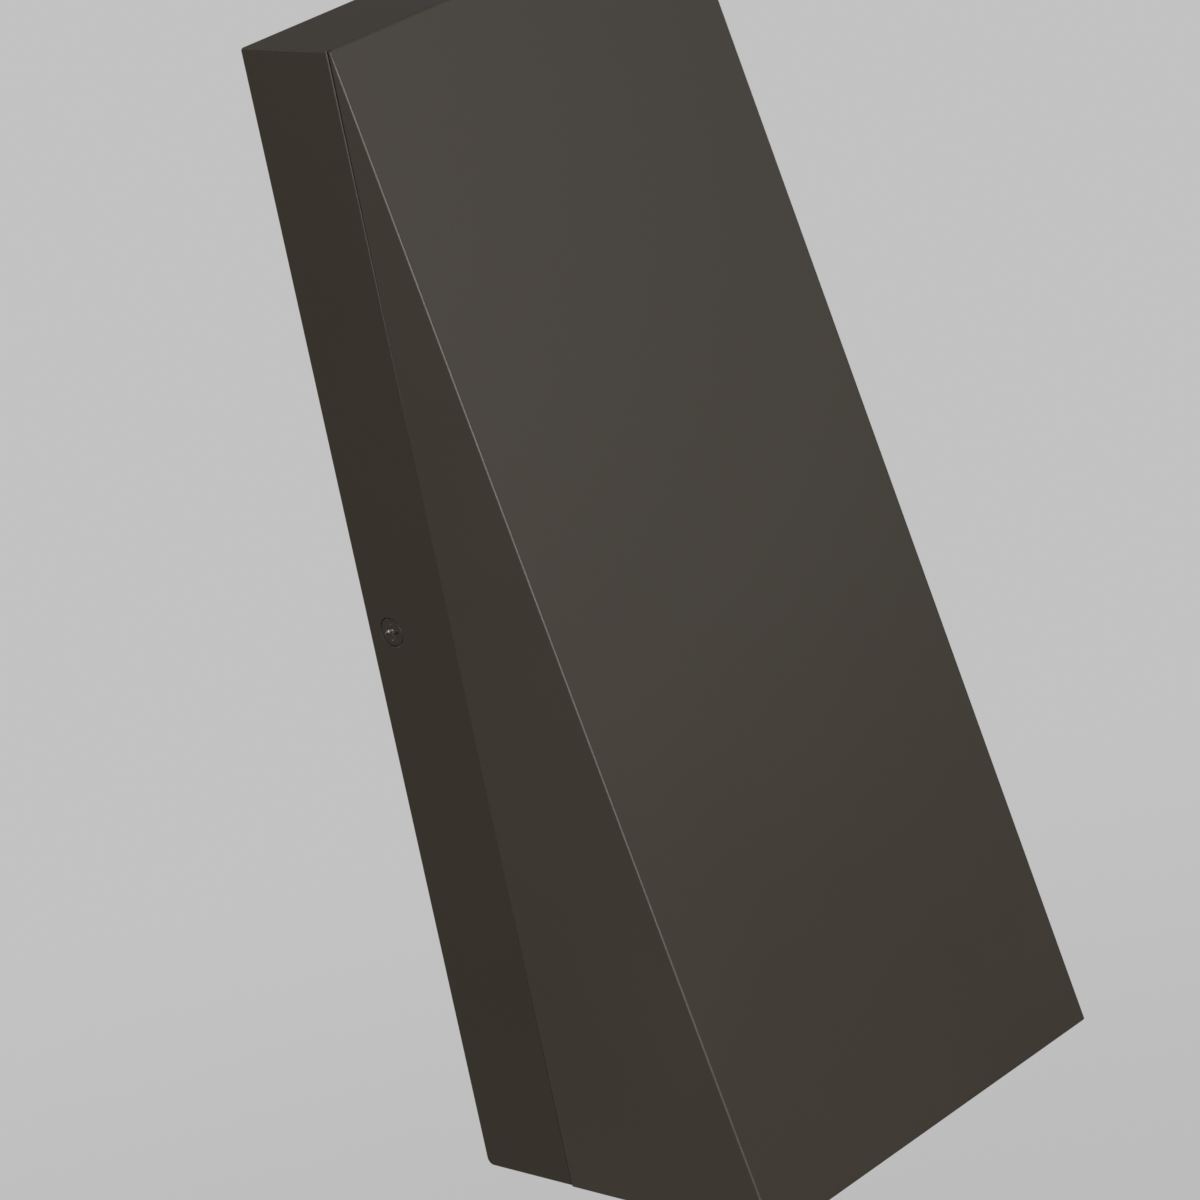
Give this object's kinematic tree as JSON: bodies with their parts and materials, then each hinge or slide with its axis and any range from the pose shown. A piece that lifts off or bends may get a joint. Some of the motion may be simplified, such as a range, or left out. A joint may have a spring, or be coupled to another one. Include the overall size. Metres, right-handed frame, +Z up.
{
  "type": "outdoor wall light",
  "caption": "Wedge-shaped outdoor downlight: a straight housing screwed over a wall bracket, a slanted cover growing deeper downwards, and a lit glass window in its underside.",
  "frame": {"origin": "centre of the face that lies on the wall, at mid-height", "axes": "+X to the right as seen from the front, +Y into the wall, +Z up"},
  "size_m": [0.1276, 0.1006, 0.3051],
  "materials": {
    "housing_paint": "satin dark bronze powder coat with a fine grain",
    "cover_paint": "satin dark bronze powder coat with a fine grain",
    "frame_paint": "satin dark bronze powder coat",
    "dark_screw": "dark bronze coating over steel, a little worn",
    "plain_screws": "bright zinc plating",
    "plated_steel": "zinc plating with a faint yellow cast",
    "green_screw": "green coating over steel",
    "black_foam": "closed-cell foam, matt",
    "black_rubber": "smooth moulded rubber",
    "terminal_plastic": "moulded, off-white",
    "brass_clamps": "plain brass, slotted",
    "vent_plastic": "moulded black plastic",
    "driver_plastic": "moulded dark grey plastic, lightly textured",
    "green_board": "circuit board with a green mask",
    "yellow_tape": "winding tape over a dark core",
    "capacitor_sleeve": "shrink sleeve with a plain metal top",
    "lead_sleeve": "smooth lead sleeves in their usual colours",
    "white_plastic": "moulded white plastic",
    "raw_aluminium": "extruded, with fine lines along the fins",
    "grey_pad": "soft thermal pad",
    "white_board": "board with a white mask",
    "phosphor": "yellow phosphor in a white frame",
    "white_reflector": "smooth white, half gloss",
    "frosted_glass": "acid-frosted glass",
    "clear_silicone": "translucent silicone"
  },
  "bodies": {
    "light": {"rear_housing": "housing_paint", "wedge_cover": "cover_paint", "cover_gasket": "black_foam", "cover_screws": "plain_screws", "cover_nuts": "plated_steel", "wall_bracket": "plated_steel", "wall_gasket": "black_foam", "ear_nuts": "plated_steel", "ground_screw": "green_screw", "ground_washer": "plated_steel", "terminal_block": "terminal_plastic", "terminal_clamps": "brass_clamps", "terminal_block_screws": "plain_screws", "lead_grommet": "black_rubber", "breather_vent": "vent_plastic", "breather_nut": "vent_plastic", "driver_case": "driver_plastic", "driver_lid": "driver_plastic", "driver_board": "green_board", "driver_transformer": "yellow_tape", "driver_capacitors": "capacitor_sleeve", "driver_screws": "plain_screws", "input_leads": "lead_sleeve", "output_leads": "lead_sleeve", "lead_clips": "white_plastic", "lead_bush": "black_rubber", "heat_sink": "raw_aluminium", "heat_sink_screws": "plain_screws", "thermal_pad": "grey_pad", "led_board": "white_board", "led_chips": "phosphor", "board_screws": "plain_screws", "lead_connector": "white_plastic", "reflector": "white_reflector", "diffuser": "frosted_glass", "diffuser_gasket": "clear_silicone", "lens_frame": "frame_paint", "frame_posts": "plated_steel", "frame_screws": "dark_screw", "frame_seal": "clear_silicone"},
    "left_screw": {"left_side_screw": "dark_screw"},
    "right_screw": {"right_side_screw": "dark_screw"}
  },
  "joints": [
    {"name": "left_screw_out", "type": "slide", "parent": "light", "child": "left_screw", "axis": [-1, 0, 0], "range_m": [0, 0.0095]},
    {"name": "right_screw_out", "type": "slide", "parent": "light", "child": "right_screw", "axis": [1, 0, 0], "range_m": [0, 0.0095]}
  ]
}
